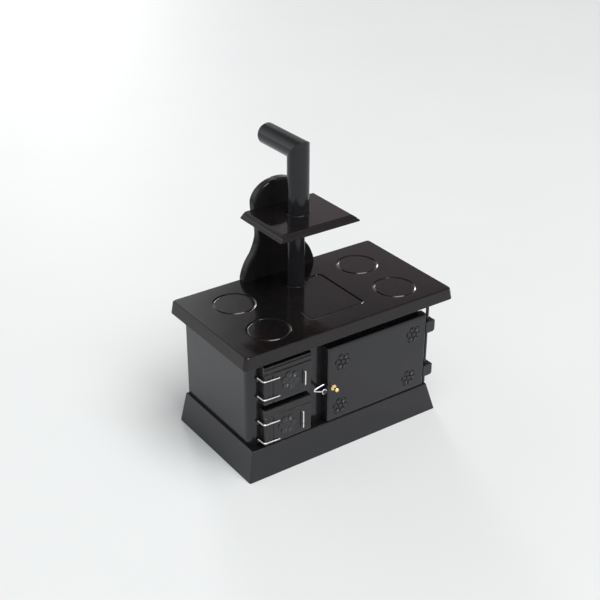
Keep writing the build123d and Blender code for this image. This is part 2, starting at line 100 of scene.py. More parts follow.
# Rounded edges of the doors: how far in from the edge each begins, and how far it falls back
OVEN_DOOR_EDGES = {"top": (2.0, 1.1), "left": (0.9, 0.7), "right": (1.0, 0.9), "bottom": (0.7, 0.6)}
FIRE_DOOR_EDGES = {"top": (1.1, 0.8), "left": (0.8, 0.7), "right": (0.6, 0.5), "bottom": (0.5, 0.4)}

# Fire door grooves: distance from the door's top or left edge, half width and depth. The depth
# of the first moulding line is given for each door.
FIRST_LINE_PLACE, FIRST_LINE_HALF_WIDTH = 1.3, 0.55
SECOND_LINE = (4.0, 0.62, 0.62)
REEDS = ((2.5, 0.5, 0.36), (4.7, 0.55, 0.55))
MOULDING_END = 4.7
REEDS_START, REEDS_FADE = 3.9, 0.4

# Door grid: where its fine lines end, across and down from the upper left corner
OVEN_DOOR_FINE = (1.2, 2.2)
FIRE_DOOR_FINE = (5.4, 4.8)

# Rosettes. Distances are shares of the radius, and on a petal also shares of its half angle, which
# is 0 on its middle line and 1 between two petals. Heights are shares of the stamping's height.
ROSETTE_SHARE = 0.99
ROSETTE_RINGS, PETAL_STEPS = 30, 24
CENTRE_RADIUS, CENTRE_HEIGHT, CENTRE_RING_HEIGHT = 0.26, 0.20, 0.30
GAP_RADIUS, GAP_HEIGHT = 0.32, 0.06
NOTCH_RADIUS, TIP_ROUNDNESS = 0.60, 0.6
SIDE_RIDGE, SIDE_RIDGE_WIDTH, SIDE_RIDGE_HEIGHT = 0.55, 0.16, 0.42
TIP_RIDGE, TIP_RIDGE_WIDTH, TIP_RIDGE_HEIGHT = 0.80, 0.14, 0.26
DOME_PLACE, DOME_LENGTH, DOME_WIDTH = 0.55, 0.19, 0.55
DOME_FOOT, DOME_HEIGHT, DOME_EXTRA_HEIGHT = 0.12, 0.357, 0.525
TALL_DOMES_ANGLE = 0.9
SIDE_GAP, SIDE_GAP_FADE = 0.86, 0.10
RIM, RIM_FALL = 0.95, 0.6
HEIGHT_LEAST = 0.04

# Soft edges of the CAD pieces that stay
SOFT_EDGES = {"oven_hinge_lug_upper": 0.3, "oven_hinge_lug_lower": 0.3, "upper_flue": 0.15,
              "flue_outlet": 0.15}

# Camera, floor and room: lengths in metres, but for the lens and the sensor in millimetres
CAMERA_AZIMUTH = math.radians(-35.12)
CAMERA_ELEVATION = math.radians(28.48)
CAMERA_ROLL = math.radians(0.31)
CAMERA_DISTANCE = 563.5 * MM
CAMERA_TARGET = Vector((-5.0, 0.95, 67.8)) * MM
CAMERA_LENS = 69.43
CAMERA_SENSOR = 36.0
CAMERA_CLIP_START = 0.01
FLOOR_SIZE = 5.0
LIGHT_AIM = Vector((0, 0, 0.05))

# Strength of the room's light at the horizon, high up, on its left wall and at the front. The left
# wall fades between two azimuths, from the back towards the right.
WORLD_HORIZON = 0.80
WORLD_HIGH = 0.10
WORLD_LEFT = 0.60
WORLD_FRONT = 0.35
WALL_FULL_UNTIL, WALL_NONE_FROM = math.radians(27), math.radians(33)

# Colours of the paint and metal, and tints of the paint's reflections
BLACK = (0.0055, 0.0055, 0.006)
BROWN_BLACK = (0.0085, 0.0058, 0.0055)
BLUE_BLACK = (0.008, 0.008, 0.010)
MOTTLE = (0.05, 0.05, 0.052)
# Painted light: the faces that don't look up are made lighter towards this grey, for the light that
# falls on them
SIDE_PAINTED_LIGHT = (0.05, 0.05, 0.055)
# Worn paint at the edges, also laid evenly along the door edges as a painted highlight
WORN_EDGE_AND_HIGHLIGHT = (0.085, 0.075, 0.068)
DUST = (0.22, 0.21, 0.20)
RUBBED_METAL = (0.36, 0.36, 0.38)
STEEL, STEEL_STAIN = (0.90, 0.89, 0.86), (0.42, 0.40, 0.36)
BRASS, BRASS_STAIN = (0.93, 0.74, 0.40), (0.52, 0.36, 0.17)
COOL = (0.95, 0.985, 1.04)
WARM = (1.0, 0.985, 1.0)

# Colours of the card under the range and of the room round it
CARD_LIGHT, CARD_LIGHTER = (0.83, 0.845, 0.835), (0.86, 0.87, 0.86)
ROOM_WHITE, ROOM_PINK = (0.98, 1.0, 1.02), (0.84, 0.72, 0.74)

# Stamped trim, in front of the doors' face: its hollows get a lower specular level as painted shade up
# to HOLLOW_TOP, and no longer from HOLLOW_END, and it is rubbed through from RUBBED_FROM, fully from
# RUBBED_FULL
HOLLOW_TOP, HOLLOW_END = 0.10, 0.27
RUBBED_FROM, RUBBED_FULL = 0.43, 0.67

# Brush streaks: noise scale on each axis, for streaks that run along the one named
ALONG_X = (0.05, 1.3, 1.3)
ALONG_Y = (1.3, 0.05, 1.3)
ALONG_Z = (1.3, 1.3, 0.05)


def box_mm(node):
    """Lower and upper corner of a CAD node's box, in millimetres."""
    return [[value / MM for value in corner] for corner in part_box(node)]


HOB_HEIGHT = box_mm("hob_top")[1][2]
DOOR_FACE = box_mm("oven_door")[0][1]


# Node trees

class Graph:
    """Short way to write a node tree: add() makes a node and links or sets its inputs."""

    def __init__(self, tree):
        self.tree = tree
        tree.nodes.clear()

    def add(self, kind, inputs=None, **settings):
        node = self.tree.nodes.new(kind)
        for key, value in settings.items():
            setattr(node, key, value)
        for key, value in (inputs or {}).items():
            if isinstance(value, bpy.types.NodeSocket):
                self.tree.links.new(value, node.inputs[key])
            else:
                node.inputs[key].default_value = value
        return node

    def math(self, operation, a, b):
        return self.add("ShaderNodeMath", {0: a, 1: b}, operation=operation).outputs[0]

    def ramp(self, value, low, high, to_low=0.0, to_high=1.0):
        """Smooth step of a value from one range to another."""
        node = self.add("ShaderNodeMapRange", {"Value": value, "From Min": low, "From Max": high,
                                               "To Min": to_low, "To Max": to_high},
                        interpolation_type="SMOOTHSTEP")
        return node.outputs["Result"]

    def noise(self, vector, scale, detail=2.0, roughness=0.5):
        node = self.add("ShaderNodeTexNoise", {"Vector": vector, "Scale": scale, "Detail": detail,
                                               "Roughness": roughness})
        return node.outputs["Fac"]

    def mix(self, factor, a, b):
        """Blend of two colours, each a socket or three numbers."""
        colours = [(*c, 1) if isinstance(c, tuple) else c for c in (a, b)]
        node = self.add("ShaderNodeMix", {0: factor, 6: colours[0], 7: colours[1]}, data_type="RGBA")
        return node.outputs[2]

    def stretched(self, vector, scale):
        node = self.add("ShaderNodeMapping", {"Vector": vector, "Scale": scale})
        return node.outputs["Vector"]

    def along(self, vector, axis):
        """One axis of a vector."""
        return self.add("ShaderNodeSeparateXYZ", {0: vector}).outputs[axis]

    def bump(self, height, strength, distance):
        """Surface normal from a height; the distance is in millimetres."""
        node = self.add("ShaderNodeBump", {"Height": height, "Strength": strength,
                                           "Distance": distance * MM})
        return node.outputs["Normal"]

    def surface(self, **inputs):
        """Principled shader as the material's surface; an underscore stands for a space."""
        named = {key.replace("_", " "): value for key, value in inputs.items()}
        shader = self.add("ShaderNodeBsdfPrincipled", named)
        self.add("ShaderNodeOutputMaterial", {"Surface": shader.outputs[0]})


def new_material(name):
    """Empty node material, its graph, and object coordinates in millimetres."""
    material = bpy.data.materials.new(name)
    material.use_nodes = True
    graph = Graph(material.node_tree)
    place = graph.add("ShaderNodeTexCoord").outputs["Object"]
    return material, graph, graph.stretched(place, (1 / MM, 1 / MM, 1 / MM))


def edge_mask(graph, radius):
    """0 on flat surfaces and 1 on edges and corners, from how far the rounded normal turns."""
    rounded = graph.add("ShaderNodeBevel", {"Radius": radius}, samples=6).outputs["Normal"]
    flat = graph.add("ShaderNodeNewGeometry").outputs["Normal"]
    turn = graph.add("ShaderNodeVectorMath", {0: rounded, 1: flat}, operation="DOT_PRODUCT")
    return graph.ramp(turn.outputs["Value"], 0.985, 0.80)


# Materials

def dust_specks(graph, mm, upward, dust):
    """Mask of small round specks in loose groups, most on faces that look up."""
    speck = graph.add("ShaderNodeTexVoronoi", {"Vector": mm, "Scale": 0.34, "Randomness": 1.0})
    dot = graph.ramp(speck.outputs["Distance"], 0.075, 0.045)
    group = graph.ramp(graph.noise(mm, 0.3, 1.0), 0.56, 0.62)
    settled = graph.math("MULTIPLY", graph.ramp(upward, 0.2, 0.9, 0.25, 1.0), dust)
    return graph.math("MULTIPLY", graph.math("MULTIPLY", dot, group), settled)


def black_paint(name, colour, undertone, gloss, streaks, streak_depth, dust=0.5, ior=1.55,
                side_sheen=0.5, rubbed=0.35, board_sheen=None, tint=COOL, painted_edge_highlight=0.0):
    """Satin black paint over wood: brush streaks, orange peel, worn edges, dust on top faces, and
    painted light that makes the faces that don't look up lighter.
    side_sheen is the specular level of the faces that don't look up; 0.5 is that of the top.
    rubbed is how far in from an edge the wear and the painted edge highlight reach, in millimetres.
    board_sheen takes the place of side_sheen above the hob, on the faces that don't look up. The last
    argument is how much of the worn colour shows evenly along the edges, as a painted highlight."""
    material, graph, mm = new_material(name)
    peel = graph.noise(mm, 0.9, 2.0)
    streak = graph.noise(graph.stretched(mm, streaks), 1.0, 4.0, 0.6)
    cloud = graph.noise(mm, 0.045, 3.0)
    smudge = graph.noise(mm, 0.16, 4.0, 0.62)
    height = graph.math("ADD", graph.math("MULTIPLY", peel, 0.35),
                        graph.math("MULTIPLY", streak, streak_depth))
    normal = graph.bump(height, 0.55, 0.012)

    edge = edge_mask(graph, rubbed * MM)
    broken = graph.ramp(graph.noise(mm, 0.7, 5.0, 0.7), 0.50, 0.68)
    wear = graph.math("MULTIPLY", edge, broken)
    upward = graph.along(graph.add("ShaderNodeNewGeometry").outputs["Normal"], "Z")
    paint = graph.mix(graph.ramp(cloud, 0.35, 0.7), colour, undertone)
    mottle = graph.ramp(graph.noise(mm, 0.55, 3.0, 0.6), 0.35, 0.7, 0.0, 0.06)
    paint = graph.mix(mottle, paint, MOTTLE)
    # Painted light: the faces that don't look up are mixed a little towards a lighter grey
    paint = graph.mix(graph.ramp(upward, 0.5, 0.2, 0.0, 0.12), paint, SIDE_PAINTED_LIGHT)
    # Real wear in broken patches, and an even painted highlight of the worn colour along the edges
    wear_and_highlight = graph.math("MAXIMUM", graph.math("MULTIPLY", wear, 0.4),
                      graph.math("MULTIPLY", edge, painted_edge_highlight))
    dusty = dust_specks(graph, mm, upward, dust)
    base = graph.mix(dusty, graph.mix(wear_and_highlight, paint, WORN_EDGE_AND_HIGHLIGHT), DUST)

    rough = graph.ramp(smudge, 0.3, 0.75, gloss - 0.03, gloss + 0.06)
    rough = graph.math("ADD", rough, graph.math("MULTIPLY", wear, 0.18))
    rough = graph.math("ADD", rough, graph.math("MULTIPLY", dusty, 0.4))
    sheen = graph.ramp(upward, 0.3, 0.8, side_sheen, 0.5)
    # Above the hob, the faces that don't look up get a lower specular level
    if board_sheen is not None:
        over_hob = graph.ramp(graph.along(mm, "Z"), HOB_HEIGHT + 0.4, HOB_HEIGHT + 1.6)
        above = graph.math("MULTIPLY", over_hob, graph.ramp(upward, 0.9, 0.5))
        sheen = graph.math("SUBTRACT", sheen, graph.math("MULTIPLY", above, side_sheen - board_sheen))
    graph.surface(Base_Color=base, Roughness=rough, Normal=normal, IOR=ior,
                  Specular_IOR_Level=sheen, Specular_Tint=(*tint, 1))
    return material


def black_metal(name, roughness, rub_from=0.0, rub_to=0.0):
    """Black paint on stamped metal or wire. Where rub_from and rub_to are given, in millimetres in front
    of the doors' face, the parts that stand out further are rubbed through to the metal, and the hollows
    near the face get a lower specular level as painted shade."""
    material, graph, mm = new_material(name)
    fine = graph.noise(mm, 3.0, 3.0)
    colour, metallic, sheen = (*BLUE_BLACK, 1), 0.0, 0.5
    if rub_to:
        out = graph.math("SUBTRACT", DOOR_FACE, graph.along(mm, "Y"))
        patchy = graph.ramp(graph.noise(mm, 1.4, 3.0), 0.42, 0.60)
        metallic = graph.math("MULTIPLY", graph.ramp(out, rub_from, rub_to), patchy)
        colour = graph.mix(metallic, BLUE_BLACK, RUBBED_METAL)
        # Painted shade: the hollows near the doors' face reflect less
        shaded_hollow = graph.math("MULTIPLY", graph.ramp(out, HOLLOW_END, HOLLOW_TOP),
                            graph.ramp(out, -0.05, 0.0))
        sheen = graph.math("SUBTRACT", 0.5, graph.math("MULTIPLY", shaded_hollow, 0.42))
    rough = graph.ramp(fine, 0.3, 0.7, roughness, roughness + 0.12)
    graph.surface(Base_Color=colour, Roughness=rough, Metallic=metallic,
                  Normal=graph.bump(fine, 0.4, 0.01), IOR=1.55, Specular_IOR_Level=sheen)
    return material


def bright_metal(name, colour, stain, roughness):
    """Drawn or turned bright metal with fine marks and a little stain."""
    material, graph, mm = new_material(name)
    marks = graph.noise(mm, 2.6, 4.0, 0.65)
    patch = graph.ramp(graph.noise(mm, 0.9, 3.0), 0.56, 0.74, 0.0, 0.5)
    rough = graph.ramp(marks, 0.3, 0.75, roughness - 0.05, roughness + 0.12)
    graph.surface(Base_Color=graph.mix(patch, colour, stain), Roughness=rough, Metallic=1.0,
                  Normal=graph.bump(marks, 0.5, 0.012))
    return material


MATERIALS = {
    "cabinet_paint": black_paint("cabinet_paint", BLACK, BROWN_BLACK, 0.17, ALONG_Y, 1.1, ior=1.5),
    "top_paint": black_paint("top_paint", BROWN_BLACK, BLACK, 0.10, ALONG_X, 0.3, 0.35,
                             side_sheen=0.26, board_sheen=0.13, tint=WARM),
    # The doors' paint carries a painted highlight along its edges
    "door_paint": black_paint("door_paint", BLACK, BROWN_BLACK, 0.16, ALONG_X, 0.9, ior=1.49,
                              rubbed=1.6, painted_edge_highlight=0.25),
    "flue_paint": black_paint("flue_paint", BLACK, BLACK, 0.14, ALONG_Z, 0.3, ior=1.40),
    "black_trim": black_metal("black_trim", 0.08, RUBBED_FROM, RUBBED_FULL),
    "black_wire": black_metal("black_wire", 0.16),
    "bright_wire": bright_metal("bright_wire", STEEL, STEEL_STAIN, 0.22),
    "brass": bright_metal("brass", BRASS, BRASS_STAIN, 0.15),
}


# Mesh tools

def add_object(name, data):
    """New object in the scene, from a mesh, light or camera."""
    obj = bpy.data.objects.new(name, data)
    bpy.context.scene.collection.objects.link(obj)
    return obj


def mesh_from(bm, name, material):
    """Mesh of one material from a bmesh, which is freed."""
    mesh = bpy.data.meshes.new(name)
    bm.to_mesh(mesh)
    bm.free()
    mesh.materials.append(material)
    return mesh


def add_piece(name, bm, body, slot, replaced, smooth_angle=50):
    """Turn a bmesh into a piece that rides on a body and stands for one CAD node."""
    bmesh.ops.recalc_face_normals(bm, faces=bm.faces[:])
    mesh = mesh_from(bm, name, MATERIALS[slot])
    mesh.shade_smooth()
    mesh.set_sharp_from_angle(angle=math.radians(smooth_angle))
    piece = add_object(name, mesh)
    level = piece.modifiers.new("level_faces", "WEIGHTED_NORMAL")
    level.mode = "FACE_AREA"
    level.weight = 100
    level.keep_sharp = True
    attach(piece, body)
    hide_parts(replaced)


def ring_of(bm, points):
    """Vertices at points given in millimetres."""
    return [bm.verts.new((x * MM, y * MM, z * MM)) for x, y, z in points]


def bridge(bm, loop_a, loop_b):
    """Faces between two closed loops with the same number of points."""
    count = len(loop_a)
    for i in range(count):
        j = (i + 1) % count
        bm.faces.new((loop_a[i], loop_a[j], loop_b[j], loop_b[i]))


def bridge_all(bm, loops):
    """Faces between each loop and the next."""
    for loop_a, loop_b in zip(loops, loops[1:]):
        bridge(bm, loop_a, loop_b)


def fill_between(bm, loops):
    """Flat triangles inside the first loop and outside the others."""
    edges = []
    for loop in loops:
        for i, vert in enumerate(loop):
            follower = loop[(i + 1) % len(loop)]
            edges.append(bm.edges.get((vert, follower)) or bm.edges.new((vert, follower)))
    bmesh.ops.triangle_fill(bm, use_beauty=True, use_dissolve=False, edges=edges)


def circle_points(x, y, radius, count=96):
    angles = [2 * math.pi * i / count for i in range(count)]
    return [(x + radius * math.cos(a), y + radius * math.sin(a)) for a in angles]


def rounded_rectangle(x0, x1, y0, y1, radius, steps):
    """Points of a rectangle with round corners, anticlockwise from the lower right corner."""
    corners = ((x1 - radius, y0 + radius, -90), (x1 - radius, y1 - radius, 0),
               (x0 + radius, y1 - radius, 90), (x0 + radius, y0 + radius, 180))
    points = []
    for cx, cy, start in corners:
        for step in range(steps + 1):
            angle = math.radians(start + 90 * step / steps)
            points.append((cx + radius * math.cos(angle), cy + radius * math.sin(angle)))
    return points


def round_edge(radius, steps):
    """Points across a rounded edge between two faces, each as its distances from the two. They
    start on the second face and end on the first."""
    angles = [math.radians(90 * i / steps) for i in range(steps + 1)]
    return [(radius * (1 - math.sin(a)), radius * (1 - math.cos(a))) for a in angles]


def tapered_slab(bm, z_range, half, front, back, corner, edges):
    """Sides and underside of a slab; half and front are (lower, upper), edges the edge radii.
    Returns the loop round its upper face."""
    z_low, z_high = z_range

    def outline(z, inset):
        share = (z - z_low) / (z_high - z_low)
        half_here = half[0] + (half[1] - half[0]) * share - inset
        front_here = front[0] + (front[1] - front[0]) * share + inset
        points = rounded_rectangle(-half_here, half_here, front_here, back - inset,
                                   max(0.05, corner - inset), 6)
        return ring_of(bm, [(x, y, z) for x, y in points])

    low_edge, high_edge = edges
    loops = [outline(z_low + rise, inset) for inset, rise in round_edge(low_edge, EDGE_STEPS)]
    loops += [outline(z_high - drop, inset) for drop, inset in round_edge(high_edge, EDGE_STEPS)]
    bridge_all(bm, loops)
    bm.faces.new(loops[0])
    return loops[-1]


# Plinth and hob top

def make_plinth():
    """Board that slopes in at its ends and its front, with round upper edges."""
    (_, y_front, _), (x_high, y_back, z_high) = box_mm("base_plinth")
    bm = bmesh.new()
    rim = tapered_slab(bm, (0.0, z_high), (x_high, x_high - PLINTH_END_SLOPE),
                       (y_front, y_front + PLINTH_FRONT_SLOPE), y_back, PLINTH_CORNER, PLINTH_EDGES)
    bm.faces.new(rim)
    add_piece("plinth_board", bm, "cabinet", "cabinet_paint", "base_plinth", 40)


def groove_profile():
    """Groove across its width: distance out from its deepest line, and depth."""
    profile = []
    for i in range(2 * GROOVE_STEPS + 1):
        across = 1 - i / GROOVE_STEPS
        reach = GROOVE_OUTER if across > 0 else GROOVE_INNER
        profile.append((reach * across, GROOVE_DEPTH * (1 + math.cos(math.pi * across)) / 2))
    return profile


def hatch_share(x):
    """Share of the groove's depth along the hatch: paint has nearly filled it at the left."""
    way = min(1.0, max(0.0, (x + HATCH_FADE) / (2 * HATCH_FADE)))
    return HATCH_SHARE_LEFT + (HATCH_SHARE_RIGHT - HATCH_SHARE_LEFT) * way


def cut_groove(bm, z_top, outline_at, share=lambda x: 1.0):
    """Groove along a closed outline, with its inside covered. outline_at gives the outline's
    points at a distance out from its deepest line. Returns the outer rim."""
    loops = []
    for out, depth in groove_profile():
        loops.append(ring_of(bm, [(x, y, z_top - depth * share(x)) for x, y in outline_at(out)]))
    bridge_all(bm, loops)
    bm.faces.new(loops[-1])
    return loops[0]


def make_hob_top():
    """Slab with round edges; the ring marks and the hatch outline are smooth grooves."""
    (_, y_front, z_low), (x_high, y_back, z_high) = box_mm("hob_top")
    bm = bmesh.new()
    rims = [tapered_slab(bm, (z_low, z_high), (x_high, x_high - HOB_END_SLOPE),
                         (y_front, y_front + HOB_FRONT_SLOPE), y_back, HOB_CORNER, HOB_EDGES)]
    for x in (-RING_X, RING_X):
        for y in (RING_FRONT_Y, RING_BACK_Y):
            rims.append(cut_groove(bm, z_high, lambda out: circle_points(x, y, RING_RADIUS + out)))

    def hatch_outline(out):
        half = HATCH_HALF_WIDTH + out
        return rounded_rectangle(-half, half, HATCH_FRONT_Y - out, HATCH_BACK_Y + out,
                                 HATCH_CORNER + out, 8)

    rims.append(cut_groove(bm, z_high, hatch_outline, hatch_share))
    fill_between(bm, rims)
    add_piece("hob_top_panel", bm, "cabinet", "top_paint", "hob_top")


# Backboard, shelf and flue collars

def hermite(t, start, end, slope_start, slope_end):
    """Smooth curve between two values with given slopes, at the share t of the way."""
    return ((1 + 2 * t) * (1 - t) ** 2 * start + t * (1 - t) ** 2 * slope_start
            + t * t * (3 - 2 * t) * end - t * t * (1 - t) * slope_end)


def backboard_outline():
    """Half widths and heights of the keyhole board's right side, from its foot to its top."""
    (_, _, z_foot), (foot, _, z_top) = box_mm("backboard")
    knots = [(foot, z_foot), *BACKBOARD_SIDE]
    slopes = [(after[0] - before[0]) / (after[1] - before[1]) for before, after in zip(knots, knots[2:])]
    slopes = [0.0, *slopes, 0.0]
    points = []
    for (w0, z0), (w1, z1), m0, m1 in zip(knots, knots[1:], slopes, slopes[1:]):
        run = z1 - z0
        for i in range(BACKBOARD_SIDE_STEPS):
            t = i / BACKBOARD_SIDE_STEPS
            points.append((hermite(t, w0, w1, run * m0, run * m1), z0 + run * t))
    head_half, head_z = knots[-1]
    for i in range(BACKBOARD_HEAD_STEPS):
        a = math.pi / 2 * i / BACKBOARD_HEAD_STEPS
        points.append((head_half * math.cos(a), head_z + (z_top - head_z) * math.sin(a)))
    return points + [(0.0, z_top)]


def make_backboard():
    """Keyhole board with a rounded edge all round but for its foot, which stays square."""
    (_, y_front, _), (_, y_back, _) = box_mm("backboard")
    right = backboard_outline()
    outline = right + [(-x, z) for x, z in right[-2::-1]]
    last = len(outline) - 1
    bm = bmesh.new()

    def loop(y, inset):
        points = []
        for i, (x, z) in enumerate(outline):
            (xa, za), (xb, zb) = outline[max(0, i - 1)], outline[min(last, i + 1)]
            length = math.hypot(xb - xa, zb - za)
            inward_x, inward_z = -(zb - za) / length, (xb - xa) / length
            if i in (0, last):
                inward_x, inward_z = (-1.0 if i == 0 else 1.0), 0.0
            points.append((x + inward_x * inset, y, z + inward_z * inset))
        return ring_of(bm, points)

    back_edge = round_edge(BACKBOARD_BACK_EDGE, BACKBOARD_EDGE_STEPS)
    front_edge = round_edge(BACKBOARD_FRONT_EDGE, BACKBOARD_EDGE_STEPS)
    loops = [loop(y_back - in_y, inset) for in_y, inset in reversed(back_edge)]
    loops += [loop(y_front + in_y, inset) for in_y, inset in front_edge]
    bridge_all(bm, loops)
    fill_between(bm, [loops[0]])
    fill_between(bm, [loops[-1]])
    add_piece("keyhole_board", bm, "cabinet", "top_paint", "backboard")


def make_warming_shelf():
    """Thin board with a small moulding on its front and its ends."""
    (_, y_front, z_low), (x_high, y_back, _) = box_mm("warming_shelf")
    bm = bmesh.new()
    loops = []
    for height, inset in SHELF_MOULDING:
        half = x_high - inset
        points = rounded_rectangle(-half, half, y_front + inset, y_back, SHELF_CORNER, 3)
        loops.append(ring_of(bm, [(x, y, z_low + height) for x, y in points]))
    bridge_all(bm, loops)
    bm.faces.new(loops[0])
    bm.faces.new(loops[-1])
    add_piece("shelf_board", bm, "cabinet", "top_paint", "warming_shelf")


def make_collar(node, flue_node):
    """Low half-round bead round the foot of a flue length."""
    (x_low, y_low, z_low), (x_high, y_high, _) = box_mm(node)
    (flue_low, _, _), (flue_high, _, _) = box_mm(flue_node)
    x, y, flue_radius = (x_low + x_high) / 2, (y_low + y_high) / 2, (flue_high - flue_low) / 2
    bm = bmesh.new()
    loops = []
    for step in range(COLLAR_STEPS + 1):
        a = math.pi * step / COLLAR_STEPS
        radius = flue_radius + COLLAR_OUT - COLLAR_HALF_WIDTH * math.cos(a)
        z = z_low + COLLAR_HEIGHT * math.sin(a)
        loops.append(ring_of(bm, [(px, py, z) for px, py in circle_points(x, y, radius, 72)]))
    bridge_all(bm, loops + loops[:1])
    add_piece(node + "_bead", bm, "cabinet", "flue_paint", node)


# Doors

def bead(distance, centre, half_width, depth):
    """Depth of a round-lipped groove at a distance across it."""
    t = min(1.0, abs(distance - centre) / half_width)
    return depth * (1 - t * t) ** 2


def edge_drop(distance, reach, depth):
    """How far a rounded edge falls back at a distance from it."""
    if distance >= reach:
        return 0.0
    return depth * (1 - math.sqrt(max(0.0, 1 - (1 - distance / reach) ** 2)))


def edge_drops(edges, across, down, width, height):
    """How far the face falls back at a place on a door, from all four of its rounded edges."""
    return (edge_drop(down, *edges["top"]) + edge_drop(across, *edges["left"])
            + edge_drop(width - across, *edges["right"]) + edge_drop(height - down, *edges["bottom"]))


def grid_lines(length, fine_until):
    """Grid lines: close together near the start and at the far edge, wide elsewhere."""
    values = [0.0, 0.02, 0.06, 0.12, 0.2, 0.3, 0.4, 0.5]
    far = (1.0, 0.8, 0.62, 0.45, 0.3, 0.18, 0.08, 0.02, 0.0)
    fine_step, wide_count = 0.11, 12
    while values[-1] < fine_until:
        values.append(values[-1] + fine_step)
    rest = length - far[0] - values[-1]
    values += [values[-1] + rest * (i + 1) / wide_count for i in range(wide_count - 1)]
    return values + [length - v for v in far]


def make_door(name, depth, fine):
    """Door panel whose front follows depth(across, down, width, height), from its upper left."""
    (x0, y_front, z0), (x1, y_back, z1) = box_mm(name)
    width, height = x1 - x0, z1 - z0
    across_lines, down_lines = grid_lines(width, fine[0]), grid_lines(height, fine[1])
    bm = bmesh.new()
    grid = []
    for down in down_lines:
        grid.append(ring_of(bm, [(x0 + across, y_front + depth(across, down, width, height), z1 - down)
                                 for across in across_lines]))
    for upper, lower in zip(grid, grid[1:]):
        for i in range(len(upper) - 1):
            bm.faces.new((upper[i], upper[i + 1], lower[i + 1], lower[i]))
    rim = grid[0] + [row[-1] for row in grid[1:-1]] + grid[-1][::-1] + [row[0] for row in grid[-2:0:-1]]
    back = [bm.verts.new((vert.co.x, y_back * MM, vert.co.z)) for vert in rim]
    bridge(bm, rim, back)
    bm.faces.new(back)
    add_piece(name + "_panel", bm, name, "door_paint", name)


def oven_door_depth(across, down, width, height):
    """Plain face; the upper edge is rounded most."""
    return edge_drops(OVEN_DOOR_EDGES, across, down, width, height)


def fire_door_depth(first_line_depth):
    """Face with moulding lines along its top and upright reeds by its hinge edge."""
    lines = ((FIRST_LINE_PLACE, FIRST_LINE_HALF_WIDTH, first_line_depth), SECOND_LINE)

    def depth(across, down, width, height):
        groove = 0.0
        if down < MOULDING_END:
            groove = max(bead(down, *line) for line in lines)
        if down > REEDS_START:
            upright = max(bead(across, *reed) for reed in REEDS)
            groove = max(groove, upright * min(1.0, (down - REEDS_START) / REEDS_FADE))
        return groove + edge_drops(FIRE_DOOR_EDGES, across, down, width, height)

    return depth


# Rosettes

def petal_shape(angle, petals):
    """How far to the side of its petal an angle is, and how far the outline reaches there."""
    side = abs((angle * petals / (2 * math.pi)) % 1.0 - 0.5) * 2
    roundness = math.cos(side * math.pi / 2) ** TIP_ROUNDNESS
    return side, NOTCH_RADIUS + (1 - NOTCH_RADIUS) * roundness


def petal_relief(t, angle, side, distance):
    """Height on a petal: a ridge along each side and round the tip, a dome in the middle, and a
    gap beside the next petal. t is the share of the way to the outline. The domes are tallest
    at one angle and opposite it."""
    ridge = SIDE_RIDGE_HEIGHT * math.exp(-((side - SIDE_RIDGE) / SIDE_RIDGE_WIDTH) ** 2)
    tip = max(0.0, 1 - ((t - TIP_RIDGE) / TIP_RIDGE_WIDTH) ** 2) * max(0.0, math.cos(side * math.pi / 2))
    dome = max(0.0, 1 - ((distance - DOME_PLACE) / DOME_LENGTH) ** 2 - (side / DOME_WIDTH) ** 2)
    tall = DOME_HEIGHT + DOME_EXTRA_HEIGHT * max(0.0, math.cos(2 * (angle - TALL_DOMES_ANGLE)))
    height = max(GAP_HEIGHT + ridge + TIP_RIDGE_HEIGHT * tip, DOME_FOOT + tall * math.sqrt(dome))
    if side > SIDE_GAP:
        height *= max(0.1, 1 - (side - SIDE_GAP) / SIDE_GAP_FADE)
    if t > RIM:
        height *= 1 - RIM_FALL * (t - RIM) / (1 - RIM)
    return min(1.0, max(HEIGHT_LEAST, height))


def rosette_relief(t, angle, petals):
    """Height of the stamping: a raised ring in the centre, a gap round it, then the petals."""
    side, reach = petal_shape(angle, petals)
    distance = t * reach
    if distance < CENTRE_RADIUS:
        return CENTRE_HEIGHT + CENTRE_RING_HEIGHT * math.sin(math.pi * distance / CENTRE_RADIUS)
    if distance < GAP_RADIUS:
        return GAP_HEIGHT
    return petal_relief(t, angle, side, distance)


def make_rosette(node, body, petals, turn, ground):
    """Stamped flower. ground is the share of the height that the paint has filled."""
    (x_low, y_front, z_low), (x_high, y_back, z_high) = box_mm(node)
    centre_x, centre_z = (x_low + x_high) / 2, (z_low + z_high) / 2
    radius = (x_high - x_low) / 2 * ROSETTE_SHARE
    count = petals * PETAL_STEPS
    bm = bmesh.new()

    def height_at(t, angle):
        return (y_back - y_front) * (ground + (1 - ground) * rosette_relief(t, angle, petals))

    def ring_points(ring, height_of):
        t = ring / ROSETTE_RINGS
        points = []
        for i in range(count):
            angle = 2 * math.pi * i / count
            out = radius * petal_shape(angle, petals)[1] * t
            points.append((centre_x + out * math.cos(angle + turn), y_back - height_of(t, angle),
                           centre_z + out * math.sin(angle + turn)))
        return points

    middle = ring_of(bm, [(centre_x, y_back - height_at(0.0, 0.0), centre_z)])[0]
    loops = [ring_of(bm, ring_points(ring, height_at)) for ring in range(1, ROSETTE_RINGS + 1)]
    for i in range(count):
        bm.faces.new((middle, loops[0][i], loops[0][(i + 1) % count]))
    back = ring_of(bm, ring_points(ROSETTE_RINGS, lambda t, angle: 0.0))
    bridge_all(bm, loops + [back])
    bm.faces.new(back)
    add_piece(node + "_flower", bm, body, "black_trim", node, 60)


# CAD pieces that stay

def finish_cad_pieces():
    """Give every CAD piece its material, and soften the edges of a few."""
    slots = {entry["node"]: entry["material_slot"] for entry in frame["record"]["subparts"]}
    for name, obj in nodes.items():
        obj.data.materials.clear()
        obj.data.materials.append(MATERIALS[slots[name]])
        if name in SOFT_EDGES:
            soften = obj.modifiers.new("soft_edges", "BEVEL")
            soften.width = SOFT_EDGES[name] * MM
            soften.segments = 3
            soften.limit_method = "ANGLE"
            soften.angle_limit = math.radians(40)
            soften.use_clamp_overlap = False
            soften.harden_normals = True


# Floor, light and camera

